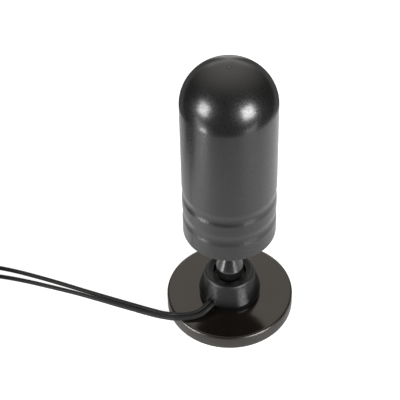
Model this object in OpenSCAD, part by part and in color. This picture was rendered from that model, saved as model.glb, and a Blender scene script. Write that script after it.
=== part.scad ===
// Cellular antenna of a signal booster: a domed tube on a ball-jointed magnetic
// foot, with two thin coaxial leads that end in screw-on plugs.

/* [Foot] */
// Diameter of the foot disc
foot_d = 80.6; // [72:0.2:100]
// Height of the foot disc
foot_h = 10; // [9:0.5:14]
// Radius of the foot's top edge
foot_edge_r = 1.8; // [0.6:0.1:2.4]
// Radius of the foot's lower edge
foot_sole_r = 0.4; // [0.2:0.1:1.2]
// Thickness of the rubber pad under the foot
pad_t = 1.2; // [0.8:0.1:1.6]
// How far the pad stands below the foot
pad_proud = 0.2; // [0.1:0.1:0.5]
// Width of the foot's rim around the pad
pad_rim = 3; // [2:0.5:4]
// Outer diameter of the ring magnet
magnet_d = 60; // [54:1:62]
// Bore of the ring magnet
magnet_bore = 40; // [36:1:44]
// Thickness of the ring magnet
magnet_t = 4; // [3:0.5:5]
// Thickness of the steel plate over the magnet
yoke_t = 1.5; // [1:0.1:2]

/* [Socket cup] */
// Height of the cup above the foot
cup_h = 20; // [18:0.5:22]
// Diameter of the cup where it stands on the foot
cup_foot_d = 36.8; // [34:0.2:37.4]
// Widest diameter of the cup
cup_wide_d = 39.2; // [38:0.2:43]
// Height of the widest ring above the foot
cup_wide_h = 3.6; // [2:0.2:6]
// Outer diameter of the rim
cup_rim_d = 32; // [31:0.2:35]
// Radius of the rim's outer edge
cup_rim_r = 2; // [0.8:0.1:2.4]
// Bore of the mouth
cup_mouth_d = 26; // [25.4:0.2:27.4]
// Diameter of the hollow under the web
cup_hollow_d = 30.4; // [28:0.2:31]
// Thickness of the web that carries the seat
web_t = 2; // [1.5:0.1:2.4]
// Direction of the lead hole, in degrees from +X
lead_az = -127; // [-140:1:-110]
// Diameter of the lead hole
lead_hole_d = 7; // [6.9:0.1:7.6]
// Height of the lead hole above the foot
lead_hole_h = 5.6; // [5.2:0.1:5.8]
// Diameter of the screws that hold the cup
cup_screw_d = 3; // [2.5:0.1:3.2]

/* [Ball joint] */
// Diameter of the ball
ball_d = 14; // [13.4:0.2:15]
// Height of the ball's centre above the foot
ball_h = 14; // [13.6:0.1:14.4]
// Radial play between the ball and its seat
ball_play = 0.05; // [0.03:0.01:0.09]
// Largest tilt to either side, in degrees
tilt_max = 12; // [5:1:13]
// How far below the ball's centre the seat and the ring part
seat_split = 1; // [0.8:0.1:1.2]
// Depth of the seat below the ball's centre
seat_depth = 6.6; // [6:0.1:6.8]
// Outer diameter of the seat's barrel
seat_d = 21.8; // [20:0.2:22.4]
// Thickness of the seat's flange
seat_flange_t = 1.5; // [1.2:0.1:1.8]
// Height of the retaining ring's lip above the ball's centre
ring_lip_h = 3; // [2.5:0.1:3.2]
// Width of the flat on the lip
ring_lip_w = 0.8; // [0.5:0.1:1]
// Inner diameter of the ring's dished top
dish_d = 20.8; // [20.6:0.2:21.6]
// Slope of the dished top, in degrees
dish_slope = 16; // [8:1:26]
// Depth of the dish's outer edge below the cup's rim
dish_drop = 0.3; // [0.2:0.1:1.2]

/* [Stud] */
// Largest diameter of the bell
bell_d = 17.4; // [16:0.1:17.8]
// Radius of the bell's curved side
bell_round = 15; // [10:0.5:20]
// Height of the bell's widest ring above the ball's centre
bell_rise = 8; // [7:0.1:9]
// Height of the bell's underside above the ball's centre
bell_gap = 4.8; // [4.7:0.1:5.6]
// Height of the bell's shoulder above the ball's centre
shoulder_rise = 11; // [10:0.1:12]
// Slope of the cone above the shoulder, in degrees from upright
cone_angle = 18; // [14:1:26]
// Diameter of the straight stem
stem_d = 10.4; // [9.6:0.2:12]
// Height of the antenna's bottom cap above the ball's centre
stem_h = 46.2; // [42:0.2:60]
// Diameter of the flange under the cap
stud_flange_d = 18; // [15:0.5:24]
// Thickness of that flange
stud_flange_t = 2.6; // [1.6:0.2:4]
// Diameter of the threaded shank
shank_d = 10; // [9:0.2:10.4]
// Width across the flats of the stud's nut
stud_nut_af = 14; // [13:0.5:15]
// Height of the stud's nut
stud_nut_h = 4; // [3:0.5:5]
// Thickness of the stud's washer
stud_washer_t = 1; // [0.6:0.1:1.5]

/* [Antenna body] */
// Outer diameter of the radome at its lower edge
body_d = 57.2; // [52:0.2:64]
// How much narrower the radome is where the dome starts
body_taper = 0.4; // [0:0.1:1.6]
// Height of the straight part of the radome
body_h = 100.9; // [90:0.1:130]
// Height of the dome
dome_h = 27.1; // [22:0.1:30]
// Wall of the radome
body_wall = 2.2; // [1.6:0.1:2.8]
// Radius of the radome's lower edge
body_edge_r = 0.6; // [0.4:0.1:1.6]
// Height of each ring groove
groove_w = 11; // [6:0.2:12]
// Lean of the ring grooves: 1 is even, less makes the lower flank the steeper one
groove_lean = 0.7; // [0.5:0.05:1]
// Depth of the ring grooves
groove_depth = 1.1; // [0.4:0.1:1.3]
// Height of the lower groove's middle above the radome's lower edge
groove_low = 17; // [14:0.5:24]
// Distance between the two grooves
groove_pitch = 17; // [13:0.5:24]
// Diameter of the moulding mark on the dome
gate_d = 1.9; // [1:0.1:3]
// Height of the moulding mark
gate_h = 0.3; // [0.1:0.1:0.6]

/* [Bottom cap] */
// How far the cap sits above the radome's lower edge
cap_inset = 0.6; // [0.2:0.1:2]
// Thickness of the bottom cap
cap_t = 4; // [3.5:0.5:6]
// Section of the seal ring
seal_d = 1.6; // [1.2:0.1:2]
// Diameter of the cap's screws
cap_screw_d = 2.6; // [2:0.1:3]
// Length of the cap's screws under the head
cap_screw_l = 10; // [8:1:12]
// Wall of the cap between the seal's groove and the screw heads
cap_lip = 0.8; // [0.5:0.1:1.2]
// Diameter of the screw bosses in the radome
boss_d = 5.6; // [5:0.2:6]

/* [Boards] */
// Gap between the edges of the two circuit boards and the radome's wall
board_gap = 2.2; // [1.7:0.1:4]
// Thickness of the circuit boards
board_t = 1.6; // [1:0.1:2]
// Gap between the carrier ring and the screw bosses
carrier_room = 0.5; // [0.3:0.1:2]
// Height of the carrier ring
carrier_h = 10; // [9:0.5:12]
// Depth of the carrier's board slots
carrier_slot = 3.2; // [2.5:0.1:4]
// Diameter of the carrier's screws
carrier_screw_d = 2; // [1.6:0.1:2.5]
// Thickness of the top spacer
spacer_t = 4; // [3:0.5:6]
// Thickness of the copper dipoles
dipole_t = 0.2; // [0.1:0.05:0.4]

/* [Leads] */
// Diameter of each lead
lead_d = 2.8; // [2.6:0.1:2.9]
// Gap between neighbouring turns of a coil
coil_gap = 0.55; // [0.45:0.05:0.8]
// Loops in each layer of a coil
coil_loops = 4; // [3:1:4]
// Radius of a coil at the middle of its turns
coil_mid_r = 16.8; // [14:0.2:17]
// Thickness of the coil ties
tie_t = 1; // [0.8:0.1:1.2]
// Width of the coil ties
tie_w = 5; // [3:0.5:8]

/* [Plugs] */
// Width across the flats of the coupling nut
plug_nut_af = 8; // [7.6:0.1:8.4]
// Bore of the coupling nut
plug_nut_bore = 6.4; // [6.2:0.1:6.6]
// Length of the coupling nut
plug_nut_l = 8; // [7:0.5:9]
// Diameter of the neck that the nut turns on
plug_neck_d = 4.9; // [4.4:0.1:5.1]
// Diameter of the plug's body
plug_body_d = 6.2; // [5.6:0.1:6.8]
// Length of the plug's body
plug_body_l = 6; // [4:0.5:9]
// Length of the boot behind the body
boot_l = 12; // [8:1:20]
// Diameter of the centre pin
pin_d = 0.92; // [0.8:0.02:1.2]

/* [Hidden] */
$fn = 96;

// Named clearances: a seat without play, a loose fit, a turning fit, a seal's touch and the room round
// the seat's barrel
snug = 0.05;
loose = 0.1;
turning = 0.05;
sealing = 0.02;
seat_room = 0.5;
overcut = 1;

// Colours of the finishes
satin_black = [0.17, 0.17, 0.17];
foot_black = [0.15, 0.14, 0.13];
gloss_black = [0.08, 0.08, 0.08];
rubber_black = [0.05, 0.05, 0.05];
nylon_grey = [0.3, 0.3, 0.3];
ferrite_grey = [0.22, 0.22, 0.24];
zinc_silver = [0.7, 0.7, 0.72];
board_green = [0.1, 0.35, 0.2];
copper_red = [0.8, 0.45, 0.25];
gold_yellow = [0.85, 0.68, 0.3];
ptfe_white = [0.92, 0.92, 0.9];

// Levels of the foot, all from the surface it stands on
magnet_z = pad_t + snug;
yoke_z = magnet_z + magnet_t;
foot_ceiling = yoke_z + yoke_t + snug;
pad_d = foot_d - 2 * pad_rim;
cup_screw_head_d = 1.8 * cup_screw_d;
cup_screw_head_h = 0.7 * cup_screw_d;
cup_boss_d = cup_screw_d + 2.6;
cup_screw_r = seat_d / 2 + seat_room + cup_boss_d / 2;
cup_screw_angles = [for (i = [0:2]) lead_az + 60 + 120 * i];

// Levels of the ball joint
ball_z = foot_h + ball_h;
flange_top_z = ball_z - seat_split - snug;
flange_z = flange_top_z - seat_flange_t;
web_z = flange_z - snug;
hollow_z = web_z - web_t;
ring_z = flange_top_z + loose;
seat_bore_d = ball_d * 0.66;
socket_d = ball_d + 2 * ball_play;
ring_d = cup_mouth_d - 2 * loose;
lip_bore_r = sqrt(pow(socket_d / 2, 2) - pow(ring_lip_h, 2));
lip_r = lip_bore_r + ring_lip_w;
ring_top_z = foot_h + cup_h - dish_drop;
dish_z = ring_top_z - (ring_d - dish_d) / 2 * tan(dish_slope);
dish_floor_z = ball_z + ring_lip_h - (dish_d / 2 - lip_r) * tan(tilt_max);
cup_screw_tip_z = hollow_z - 1.5;

// Levels of the stud
bell_z = ball_z + bell_rise;
shoulder_z = ball_z + shoulder_rise;
cone_r = bell_d / 2 - bell_round + sqrt(pow(bell_round, 2) - pow(shoulder_z - bell_z, 2));
cone_h = (cone_r - stem_d / 2) / tan(cone_angle);
stud_bore_d = 2 * lead_d + 0.6;
neck_d = stud_bore_d + 2.2;
cap_z = ball_z + stem_h;
cap_top = cap_z + cap_t;
stud_nut_z = cap_top + stud_washer_t;
shank_top = stud_nut_z + stud_nut_h + 1;

// Levels of the antenna body
body_z = cap_z - cap_inset;
spring_z = body_z + body_h;
body_top_d = body_d - body_taper;
body_bore_d = body_top_d - 2 * body_wall;
dome_inner_h = dome_h - body_wall;
draft = body_taper / 2 / body_h;
groove_middles = [groove_low, groove_low + groove_pitch];
seal_r = body_bore_d / 2 - seal_d / 2 - sealing;
seal_groove_r = seal_r - seal_d / 2 - snug;
seal_z = cap_z + cap_t / 2;
cap_screw_angles = [for (i = [0:2]) 75 + 120 * i];
cap_screw_head_d = 1.8 * cap_screw_d;
cap_screw_head_h = 0.6 * cap_screw_d;
boss_r = seal_groove_r - cap_lip - cap_screw_head_d / 2 - loose;
boss_z = cap_top + snug;
boss_h = cap_screw_l - cap_t + 4;
board_w = body_bore_d - 2 * board_gap;
carrier_d = 2 * (boss_r - boss_d / 2 - carrier_room);
carrier_z = cap_top + snug;
carrier_top = carrier_z + carrier_h;
carrier_bore_d = stud_nut_af / cos(30) + 2;
carrier_screw_r = (carrier_bore_d + carrier_d) / 4;
carrier_screw_angles = [45, 225];
carrier_screw_head_d = 1.8 * carrier_screw_d;
carrier_screw_head_h = 0.8 * carrier_screw_d;
carrier_screw_tip_z = cap_z + cap_t / 4;
board_z = carrier_top - carrier_slot + snug;
spacer_z = spring_z - spacer_t - 0.5;
board_top = spacer_z + 3 * spacer_t / 4 - snug;
board_mid = (board_z + board_top) / 2;
board_notch_top = max(carrier_top, shank_top) + 8;
slot_w = board_t + 2 * loose;
feed_z = board_mid - 6;

// Levels of the plugs, along their own axis from the boot's rear
plug_collar_x = boot_l + plug_body_l;
plug_neck_l = 3;
plug_web_l = plug_neck_l - 2 * snug;
plug_shell_x = plug_collar_x + plug_neck_l;
plug_shell_d = plug_nut_bore - 0.6;
plug_shell_bore = plug_shell_d - 1;
plug_shell_l = 2.6;
plug_pin_x = plug_shell_x - 1;
plug_pin_l = 5;
plug_z = plug_nut_af / 2 / cos(30) + 0.08;

// Routes of the leads, from the cup's hole to the coils
lead_half = lead_d / 2 + 0.15;
grommet_bore_d = 2 * lead_d + 0.7;
lead_1_route = [
    [-13, -14.6, 15.4], [-14.8, -17, 15.3], [-16.8, -18.9, 14.4], [-19.2, -20.1, 12.9],
    [-22.4, -21, 12], [-26, -21.6, 11.6], [-29.6, -22, 11.5], [-32.8, -22, 11.5],
    [-36, -20.8, 10.4], [-39, -18.7, 8.2], [-43.6, -15.2, 5], [-49, -11.5, 2.6],
    [-54, -9, 1.7], [-59.5, -6.8, 1.5], [-65.5, -4.6, 1.5], [-73, -1.8, 1.5],
    [-81.5, 1.4, 1.5], [-90.5, 4.8, 1.5], [-97.5, 7.5, 1.5], [-104, 10.1, 1.5],
    [-111.5, 13, 1.5], [-119, 15.8, 1.5], [-126.5, 18.5, 1.5], [-134, 21.1, 1.5],
    [-141.5, 23.5, 1.5], [-149, 25.6, 1.5], [-156.5, 27.3, 1.6], [-164, 28.6, 1.9],
    [-171, 29.3, 2.4], [-177, 29.5, 2.6], [-181.2, 29.5, 2.6]
];
lead_2_route = [
    [-10.5, -16.5, 15.4], [-12.3, -18.9, 15.3], [-14.9, -21.4, 14.4], [-18, -23.1, 12.9],
    [-21.8, -24.1, 12], [-25.6, -24.7, 11.6], [-29.2, -25.1, 11.5], [-32.8, -25.2, 11.3],
    [-36.8, -24, 10.2], [-40.4, -21.7, 8.2], [-45.4, -18, 5], [-50.8, -14.4, 2.6],
    [-55.4, -12.1, 1.7], [-60.6, -10, 1.5], [-66.6, -7.8, 1.5], [-74, -5.1, 1.5],
    [-83, -1.7, 1.5], [-92, 1.6, 1.5], [-98.7, 4, 1.5], [-105.5, 6.2, 1.5],
    [-113, 8.6, 1.5], [-120.5, 10.9, 1.5], [-128, 13.2, 1.5], [-135.5, 15.3, 1.5],
    [-143, 17.2, 1.5], [-150.5, 18.8, 1.5], [-158, 20, 1.6], [-164.5, 20.7, 1.9],
    [-169.5, 21, 2.4], [-174, 21, 2.6], [-177.2, 21, 2.6]
];

// Coils: each starts where its lead ends, winds in and out and climbs layer by layer
coil_layers = 4;
coil_sides = 6;
coil_rings = 22;
coil_pitch = lead_d + coil_gap;
coil_out_r = coil_mid_r + coil_loops * coil_pitch / 2;
coil_in_r = coil_out_r - coil_loops * coil_pitch;
coil_turns = coil_layers * coil_loops;
coil_rise = (coil_layers - 1) * coil_pitch;
// Side on which each coil lies, seen along its lead: 1 to the back, -1 to the front
coil_side = [1, -1];
coil_foot = [for (r = [lead_1_route, lead_2_route]) r[len(r) - 1] - [lead_d, 0, 0]];
coil_centre = [for (i = [0:1]) coil_foot[i] + [0, coil_side[i] * coil_out_r, 0]];
coil_end = [for (p = coil_foot) p + [-lead_d, 0, coil_rise]];
tie_play = 0.2;
tie_angles = [[30, 210], [-30, 150]];

// Tails: from the end of each coil down to its plug
plug_at = [[-219, 55, plug_z], [-215, -4.5, plug_z]];
plug_heading = [90, -90];
tail_1_route = [
    coil_end[0], coil_end[0] - [lead_d, 0, 0], [-194, 29.6, 12.4], [-201, 30.2, 11], [-207.5, 32, 9.2],
    [-213, 35.5, 7.3], [-217, 41, 5.7], [-219, 48, plug_z], plug_at[0]
];
tail_2_route = [
    coil_end[1], coil_end[1] - [lead_d, 0, 0], [-190, 20.9, 12.4], [-197, 20.3, 11], [-203.5, 18.5, 9.2],
    [-209, 15, 7.3], [-213, 9.5, 5.7], [-215, 2.5, plug_z], plug_at[1]
];

// Hidden stretch of the leads in the cup, as distance along the hole's direction and height
cup_lead_route = [
    [0, 16.8], [0, 15.3], [0.9, 13.5], [2.8, 12.2], [5.4, 11.9],
    [8.2, 12.5], [10.8, 14], [13.2, 15.1], [15.6, 15.4], [19.4, 15.4]
];
// Inner stretch of the leads: through the stud, then apart beside the boards
inner_spread = board_t / 2 + lead_d / 2 + loose;
inner_levels = [ball_z - ball_d / 2 + 0.8, cap_z, shank_top, shank_top + 5, board_notch_top, feed_z];

function unit(v) = v / norm(v);
function arc(c, r, a0, a1, n = 8) =
    [for (i = [0:n]) c + r * [cos(a0 + (a1 - a0) * i / n), sin(a0 + (a1 - a0) * i / n)]];
function direction(a) = [cos(a), sin(a), 0];
function heading(p, i) = unit(p[min(i + 1, len(p) - 1)] - p[max(i - 1, 0)]);

// Ring of n points round c, square to t, with no point in the plane of t and the guide vector
function ring_points(c, t, r, n, guide) =
    let (s = unit(cross(t, guide)), u = cross(s, t))
    [for (k = [0:n - 1]) let (a = 360 * (k + 0.5) / n) c + r * (cos(a) * s + sin(a) * u)];

// Closed tube of n sides along the points p, all in triangles
module tube(p, d, n, guide = [0, 0, 1]) {
    last = len(p) - 1;
    rings = [for (i = [0:last]) each ring_points(p[i], heading(p, i), d / 2, n, guide)];
    walls = [for (i = [0:last - 1], k = [0:n - 1])
        let (a = i * n + k, b = i * n + (k + 1) % n)
        each [[a, b, a + n], [b, b + n, a + n]]];
    caps = [for (k = [1:n - 2]) each [[0, k + 1, k], [last * n, last * n + k, last * n + k + 1]]];
    polyhedron(points = rings, faces = concat(walls, caps));
}

// Radius of a coil after t turns: in and out at a steady rate
function coil_radius(t) =
    let (u = t % (2 * coil_loops))
    coil_out_r - coil_pitch * (u < coil_loops ? u : 2 * coil_loops - u);
// Height of a coil after t turns: one layer in the half turn round each reversal
function coil_height(t) =
    let (steps = [for (k = [1:coil_layers - 1]) min(1, max(0, 2 * (t - k * coil_loops) + 0.5))])
    coil_pitch * (steps * [for (s = steps) 1]);
function coil_points(i) = concat(
    [coil_foot[i] + [lead_d, 0, 0]],
    [for (k = [0:coil_turns * coil_rings])
        let (t = k / coil_rings, a = -coil_side[i] * (90 + 360 * t))
        coil_centre[i] + coil_radius(t) * direction(a) + [0, 0, coil_height(t)]],
    [coil_end[i]]);
// Least gap of a coil to itself, over points at least half a turn apart
function coil_self_gap(p) =
    min([for (i = [0:len(p) - 1], j = [i + coil_rings / 2:1:len(p) - 1]) norm(p[i] - p[j])]) - lead_d;

// Points of the grooves and the straight wall of the radome, from the bottom up
function groove_share(h, m) =
    let (t = min(1, max(0, (h - m) / groove_w + 0.5)))
    (1 - cos(360 * pow(t, groove_lean))) / 2;
function body_radius(h) =
    body_d / 2 - draft * h
    - groove_depth * (groove_share(h, groove_middles[0]) + groove_share(h, groove_middles[1]));
body_levels = [for (m = groove_middles, k = [-8:8]) m + groove_w / 2 * k / 8];

module hex(af, h) {
    cylinder(d = af / cos(30), h = h, $fn = 6);
}

// Screw with its head's seat at the origin and its shank upwards
module screw(d, l, head_d, head_h) {
    cylinder(d = d, h = l);
    translate([0, 0, -head_h]) difference() {
        cylinder(d = head_d, h = head_h);
        translate([0, 0, -overcut]) hex(head_d * 0.45, overcut + head_h * 0.55);
    }
}

module around(angles, r) {
    for (a = angles) rotate([0, 0, a]) translate([r, 0, 0]) children();
}

// Placed along the lead hole: +X outwards, with the hole's axis through the origin
module at_lead_hole() {
    rotate([0, 0, lead_az]) translate([0, 0, foot_h + lead_hole_h]) rotate([0, 90, 0]) children();
}

module at_plug(i) {
    translate(plug_at[i]) rotate([0, 0, plug_heading[i]]) rotate([0, 90, 0]) children();
}

module foot_shell() {
    top_edge = arc([foot_d / 2 - foot_edge_r, foot_h - foot_edge_r], foot_edge_r, 90, 0);
    sole_edge = arc([foot_d / 2 - foot_sole_r, pad_proud + foot_sole_r], foot_sole_r, 0, -90);
    pad_pocket_r = pad_d / 2 + snug;
    magnet_pocket_r = magnet_d / 2 + snug;
    color(foot_black) difference() {
        rotate_extrude() polygon(concat(
            [[0, foot_ceiling], [0, foot_h]], top_edge, sole_edge,
            [[pad_pocket_r, pad_proud], [pad_pocket_r, pad_t + snug],
             [magnet_pocket_r, pad_t + snug], [magnet_pocket_r, foot_ceiling]]));
        around(cup_screw_angles, cup_screw_r) cylinder(d = cup_screw_d + 2 * loose, h = foot_h + overcut);
    }
}

module foot_pad() {
    color(rubber_black) cylinder(d = pad_d, h = pad_t);
}

module ring_magnet() {
    color(ferrite_grey) translate([0, 0, magnet_z]) difference() {
        cylinder(d = magnet_d, h = magnet_t);
        translate([0, 0, -overcut]) cylinder(d = magnet_bore, h = magnet_t + 2 * overcut);
    }
}

module yoke_plate() {
    color(zinc_silver) translate([0, 0, yoke_z]) difference() {
        cylinder(d = magnet_d, h = yoke_t);
        translate([0, 0, -overcut]) cylinder(d = magnet_bore, h = yoke_t + 2 * overcut);
    }
}

module cup_screws() {
    color(zinc_silver) around(cup_screw_angles, cup_screw_r) translate([0, 0, foot_ceiling])
        screw(cup_screw_d, cup_screw_tip_z - foot_ceiling, cup_screw_head_d, cup_screw_head_h);
}

module socket_cup() {
    foot_r = cup_foot_d / 2;
    bulge = [for (a = [0:8:112])
        [foot_r + (cup_wide_d / 2 - foot_r) * sin(a), foot_h + cup_wide_h * (1 - cos(a))]];
    rim_z = foot_h + cup_h;
    rim_edge = arc([cup_rim_d / 2 - cup_rim_r, rim_z - cup_rim_r], cup_rim_r, 14, 90, 6);
    mouth_r = cup_mouth_d / 2;
    web_r = seat_d / 2 + loose;
    hollow_r = cup_hollow_d / 2;
    color(satin_black) difference() {
        union() {
            rotate_extrude() polygon(concat(
                [[hollow_r, foot_h]], bulge, rim_edge,
                [[mouth_r, rim_z - dish_drop], [mouth_r, web_z],
                 [web_r, web_z], [web_r, hollow_z], [hollow_r, hollow_z]]));
            around(cup_screw_angles, cup_screw_r) translate([0, 0, foot_h + snug])
                cylinder(d = cup_boss_d, h = hollow_z - foot_h);
        }
        around(cup_screw_angles, cup_screw_r) translate([0, 0, foot_h - overcut])
            cylinder(d = cup_screw_d + 2 * snug, h = cup_screw_tip_z - foot_h + overcut + snug);
        at_lead_hole() translate([0, 0, hollow_r - overcut]) cylinder(d = lead_hole_d, h = cup_wide_d);
    }
}

module ball_seat() {
    flange_r = cup_mouth_d / 2 - 4 * loose;
    seat_z = ball_z - seat_depth;
    color(nylon_grey) difference() {
        union() {
            translate([0, 0, flange_z]) cylinder(r = flange_r, h = seat_flange_t);
            translate([0, 0, seat_z]) cylinder(d = seat_d, h = flange_top_z - seat_z);
        }
        translate([0, 0, ball_z]) sphere(d = socket_d);
        translate([0, 0, seat_z - overcut]) cylinder(d = seat_bore_d, h = ball_z - seat_z);
    }
}

module retaining_ring() {
    key_d = 1.4;
    key_r = (dish_d + ring_d) / 4;
    inner_r = socket_d / 4;
    color(rubber_black) difference() {
        rotate_extrude() polygon([
            [inner_r, ring_z], [ring_d / 2, ring_z],
            [ring_d / 2, ring_top_z], [dish_d / 2, dish_z], [dish_d / 2, dish_floor_z],
            [lip_r, ball_z + ring_lip_h], [inner_r, ball_z + ring_lip_h]]);
        translate([0, 0, ball_z]) sphere(d = socket_d);
        around([90, 270], key_r) translate([0, 0, ring_z + 0.6]) cylinder(d = key_d, h = ring_lip_h + ball_h);
    }
}

module lead_grommet() {
    inner_x = cup_hollow_d / 2 - 1;
    outer_x = cup_wide_d / 2 - 0.3;
    color(rubber_black) at_lead_hole() translate([0, 0, inner_x]) difference() {
        cylinder(d = lead_hole_d - 2 * snug, h = outer_x - inner_x);
        translate([0, 0, -overcut]) cylinder(d = grommet_bore_d, h = outer_x - inner_x + 2 * overcut);
    }
}

module cup_leads() {
    out = direction(lead_az);
    across = direction(lead_az + 90);
    color(rubber_black) for (s = [-1, 1])
        tube([for (q = cup_lead_route) q[0] * out + s * lead_half * across + [0, 0, q[1]]], lead_d, 8, across);
}

module ball_stud() {
    under_z = ball_z + bell_gap;
    bell = arc([bell_d / 2 - bell_round, bell_z], bell_round,
        asin((under_z - bell_z) / bell_round), asin((shoulder_z - bell_z) / bell_round));
    flange_z = cap_z - stud_flange_t;
    fillet = min(2, (stud_flange_d - stem_d) / 2 - 0.5);
    flare = arc([stem_d / 2 + fillet, flange_z - fillet], fillet, 180, 90);
    core_r = stud_bore_d / 4;
    color(gloss_black) difference() {
        union() {
            translate([0, 0, ball_z]) sphere(d = ball_d);
            translate([0, 0, ball_z]) cylinder(d = neck_d, h = bell_rise);
            rotate_extrude() polygon(concat(
                [[core_r, under_z]], bell, [[stem_d / 2, shoulder_z + cone_h]], flare,
                [[stud_flange_d / 2, flange_z], [stud_flange_d / 2, cap_z],
                 [shank_d / 2, cap_z], [shank_d / 2, shank_top], [core_r, shank_top]]));
        }
        translate([0, 0, ball_z - ball_d]) cylinder(d = stud_bore_d, h = shank_top - ball_z + ball_d + overcut);
    }
}

module bottom_cap() {
    cap_r = body_bore_d / 2 - loose;
    color(satin_black) difference() {
        translate([0, 0, cap_z]) cylinder(r = cap_r, h = cap_t);
        translate([0, 0, cap_z - overcut]) cylinder(d = shank_d + 2 * snug, h = cap_t + 2 * overcut);
        translate([0, 0, seal_z - seal_d / 2 - snug]) difference() {
            cylinder(r = cap_r + overcut, h = seal_d + 2 * snug);
            translate([0, 0, -overcut]) cylinder(r = seal_groove_r, h = seal_d + 2 * overcut + 1);
        }
        around(cap_screw_angles, boss_r) translate([0, 0, cap_z - overcut]) {
            cylinder(d = cap_screw_d + 2 * loose, h = cap_t + 2 * overcut);
            cylinder(d = cap_screw_head_d + 2 * loose, h = cap_screw_head_h + overcut);
        }
        around(carrier_screw_angles, carrier_screw_r) translate([0, 0, carrier_screw_tip_z - snug])
            cylinder(d = carrier_screw_d + 2 * snug, h = cap_t + overcut);
    }
}

module stud_washer() {
    color(zinc_silver) translate([0, 0, cap_top]) difference() {
        cylinder(d = stud_nut_af / cos(30), h = stud_washer_t);
        translate([0, 0, -overcut]) cylinder(d = shank_d + 2 * loose, h = stud_washer_t + 2 * overcut);
    }
}

module stud_nut() {
    color(zinc_silver) translate([0, 0, stud_nut_z]) difference() {
        hex(stud_nut_af, stud_nut_h);
        translate([0, 0, -overcut]) cylinder(d = shank_d + 2 * snug, h = stud_nut_h + 2 * overcut);
    }
}

module cap_seal() {
    color(rubber_black) translate([0, 0, seal_z]) rotate_extrude()
        translate([seal_r, 0]) circle(d = seal_d, $fn = 32);
}

module cap_screws() {
    color(zinc_silver) around(cap_screw_angles, boss_r) translate([0, 0, cap_z + cap_screw_head_h])
        screw(cap_screw_d, cap_screw_l, cap_screw_head_d, cap_screw_head_h);
}

// Screw boss in the radome, with a rib out to the wall
module body_boss() {
    rib_w = boss_d / 2;
    rib_inset = 1;
    cylinder(d = boss_d, h = boss_h);
    translate([0, -rib_w / 2, rib_inset])
        cube([body_bore_d / 2 + body_wall / 2 - boss_r, rib_w, boss_h - 2 * rib_inset]);
}

module radome() {
    lower_edge = arc([body_d / 2 - body_edge_r, body_edge_r], body_edge_r, -90, 0, 6);
    wall_points = [for (h = body_levels) [body_radius(h), h]];
    dome = [for (a = [0:5:85]) [body_top_d / 2 * cos(a), body_h + dome_h * sin(a)]];
    dome_inside = [for (a = [85:-5:0]) [body_bore_d / 2 * cos(a), body_h + dome_inner_h * sin(a)]];
    gate_base = body_h + dome_h - gate_h;
    color(satin_black) translate([0, 0, body_z]) {
        difference() {
            union() {
                rotate_extrude() polygon(concat(
                    [[body_bore_d / 2, 0]], lower_edge, wall_points, dome, [[0, body_h + dome_h]],
                    [[0, body_h + dome_inner_h]], dome_inside));
                around(cap_screw_angles, boss_r) translate([0, 0, boss_z - body_z]) body_boss();
            }
            around(cap_screw_angles, boss_r) translate([0, 0, boss_z - body_z - overcut])
                cylinder(d = cap_screw_d + 2 * snug, h = boss_h - 1.5 + overcut);
        }
        translate([0, 0, gate_base]) cylinder(d = gate_d, h = 2 * gate_h);
    }
}

// Cross of two board slots, from the origin upwards
module board_slots(h) {
    for (a = [0, 90]) rotate([0, 0, a]) translate([-board_w / 2 - loose, -slot_w / 2, 0])
        cube([board_w + 2 * loose, slot_w, h]);
}

module board_carrier() {
    color(nylon_grey) difference() {
        translate([0, 0, carrier_z]) cylinder(d = carrier_d, h = carrier_h);
        translate([0, 0, carrier_z - overcut]) cylinder(d = carrier_bore_d, h = carrier_h + 2 * overcut);
        translate([0, 0, carrier_top - carrier_slot]) board_slots(carrier_slot + overcut);
        around(carrier_screw_angles, carrier_screw_r) {
            translate([0, 0, carrier_z - overcut])
                cylinder(d = carrier_screw_d + 2 * loose, h = carrier_h + 2 * overcut);
            translate([0, 0, carrier_top - carrier_screw_head_h])
                cylinder(d = carrier_screw_head_d + 2 * loose, h = carrier_h);
        }
    }
}

module carrier_screws() {
    seat_z = carrier_top - carrier_screw_head_h;
    color(zinc_silver) around(carrier_screw_angles, carrier_screw_r) translate([0, 0, seat_z])
        mirror([0, 0, 1])
        screw(carrier_screw_d, seat_z - carrier_screw_tip_z, carrier_screw_head_d, carrier_screw_head_h);
}

// Board in the XZ plane with a notch over the stud; the halving slot runs from the middle
// upwards or downwards
module board(slot_up) {
    notch_w = carrier_bore_d - 2;
    slot_z = slot_up ? board_mid : board_z - overcut;
    difference() {
        translate([-board_w / 2, -board_t / 2, board_z]) cube([board_w, board_t, board_top - board_z]);
        translate([-notch_w / 2, -board_t, board_z - overcut])
            cube([notch_w, 2 * board_t, board_notch_top - board_z + overcut]);
        translate([-slot_w / 2, -board_t, slot_z])
            cube([slot_w, 2 * board_t, board_mid - board_z + overcut]);
    }
}

module antenna_board_1() {
    color(board_green) board(true);
}

module antenna_board_2() {
    color(board_green) rotate([0, 0, 90]) board(false);
}

// Two bow-tie arms and the feed strips between them, on the front face of a board
module dipole() {
    arm_w = board_w / 2 - 5;
    arm_h = (board_top - board_notch_top) / 2 - 8;
    inner_x = slot_w / 2 + 1;
    strip = 2;
    color(copper_red) translate([0, -board_t / 2, board_mid]) rotate([90, 0, 0]) linear_extrude(dipole_t)
        for (s = [-1, 1], t = [-1, 1]) polygon([
            [s * inner_x, t * 2], [s * (inner_x + strip), t * 2], [s * arm_w, t * arm_h / 2],
            [s * arm_w, t * arm_h], [s * inner_x, t * arm_h]]);
}

module dipole_1() {
    dipole();
}

module dipole_2() {
    rotate([0, 0, -90]) dipole();
}

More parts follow.
